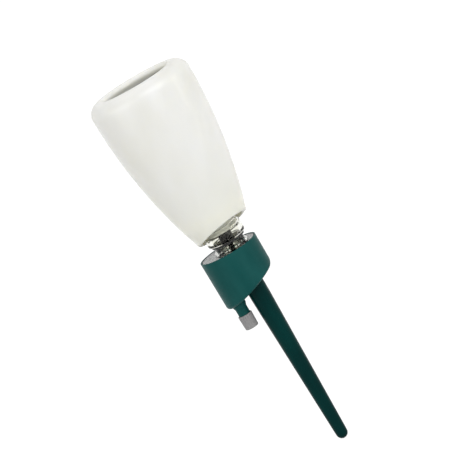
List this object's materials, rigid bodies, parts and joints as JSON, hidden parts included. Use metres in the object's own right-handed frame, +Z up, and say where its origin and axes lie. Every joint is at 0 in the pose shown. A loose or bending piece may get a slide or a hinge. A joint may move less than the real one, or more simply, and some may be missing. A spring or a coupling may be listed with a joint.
{
  "type": "self watering spike",
  "caption": "Frosted bottle stood on its neck in a small cup with a drip regulator, on a tapered stake that goes into the soil of a pot.",
  "frame": {"origin": "on the stake's axis at the level of the soil, 100 mm above the stake's tip", "axes": "+Z up along the stake and the bottle; the drip regulator is on the -X side; -Y is the front"},
  "size_m": [0.085, 0.085, 0.325],
  "materials": {
    "frosted_bottle": "frosted",
    "clear_cap": "gloss",
    "clear_lid": "gloss",
    "pale_silicone": "matte",
    "black_valve": "satin",
    "black_rubber": "matte",
    "spring_steel": "bright",
    "teal_cup": "satin",
    "teal_stake": "satin",
    "grey_cap": "satin"
  },
  "bodies": {
    "cup_body": {"cup": "teal_cup", "stake": "teal_stake", "cup_lid": "clear_lid", "outlet_strainer": "grey_cap"},
    "seal": {"seal_ring": "black_rubber"},
    "cap_body": {"bottle_cap": "clear_cap", "spring_cage": "clear_cap", "valve_spring": "spring_steel"},
    "valve": {"valve_plunger": "black_valve", "valve_washer": "black_rubber"},
    "gasket": {"cap_gasket": "pale_silicone"},
    "bottle_body": {"bottle": "frosted_bottle"},
    "regulator_ring": {"regulator_seal": "black_rubber"},
    "regulator": {"regulator_cap": "grey_cap"}
  },
  "joints": [
    {"name": "bottle_lift", "type": "slide", "parent": "cup_body", "child": "seal", "axis": [0, 0, 1], "range_m": [0, 0.05]},
    {"name": "bottle_release", "type": "slide", "parent": "seal", "child": "cap_body", "axis": [0, 0, 1], "range_m": [0, 0.004]},
    {"name": "valve_travel", "type": "slide", "parent": "cap_body", "child": "valve", "axis": [0, 0, 1], "range_m": [-0.004, 0], "stiffness_N_per_m": 30, "springref_m": -0.01, "deforming": ["valve_spring"]},
    {"name": "bottle_thread", "type": "slide", "parent": "cap_body", "child": "gasket", "axis": [0, 0, 1], "range_m": [0, 0.006]},
    {"name": "bottle_turn", "type": "hinge", "parent": "gasket", "child": "bottle_body", "pos_m": [0, 0, 0.0923], "axis": [0, 0, 1], "range_deg": [0, 540]},
    {"name": "regulator_thread", "type": "slide", "parent": "cup_body", "child": "regulator_ring", "axis": [0, 0, -1], "range_m": [0, 0.00225]},
    {"name": "regulator_turn", "type": "hinge", "parent": "regulator_ring", "child": "regulator", "pos_m": [-0.018, 0, 0.02], "axis": [0, 0, -1], "range_deg": [0, 545]}
  ],
  "couplings": [
    {"joint": "valve_travel", "follows": "bottle_release", "ratio": -1},
    {"joint": "bottle_thread", "follows": "bottle_turn", "m_per_rad": 0.00063662},
    {"joint": "regulator_turn", "follows": "regulator_thread", "rad_per_m": 4188.8}
  ]
}
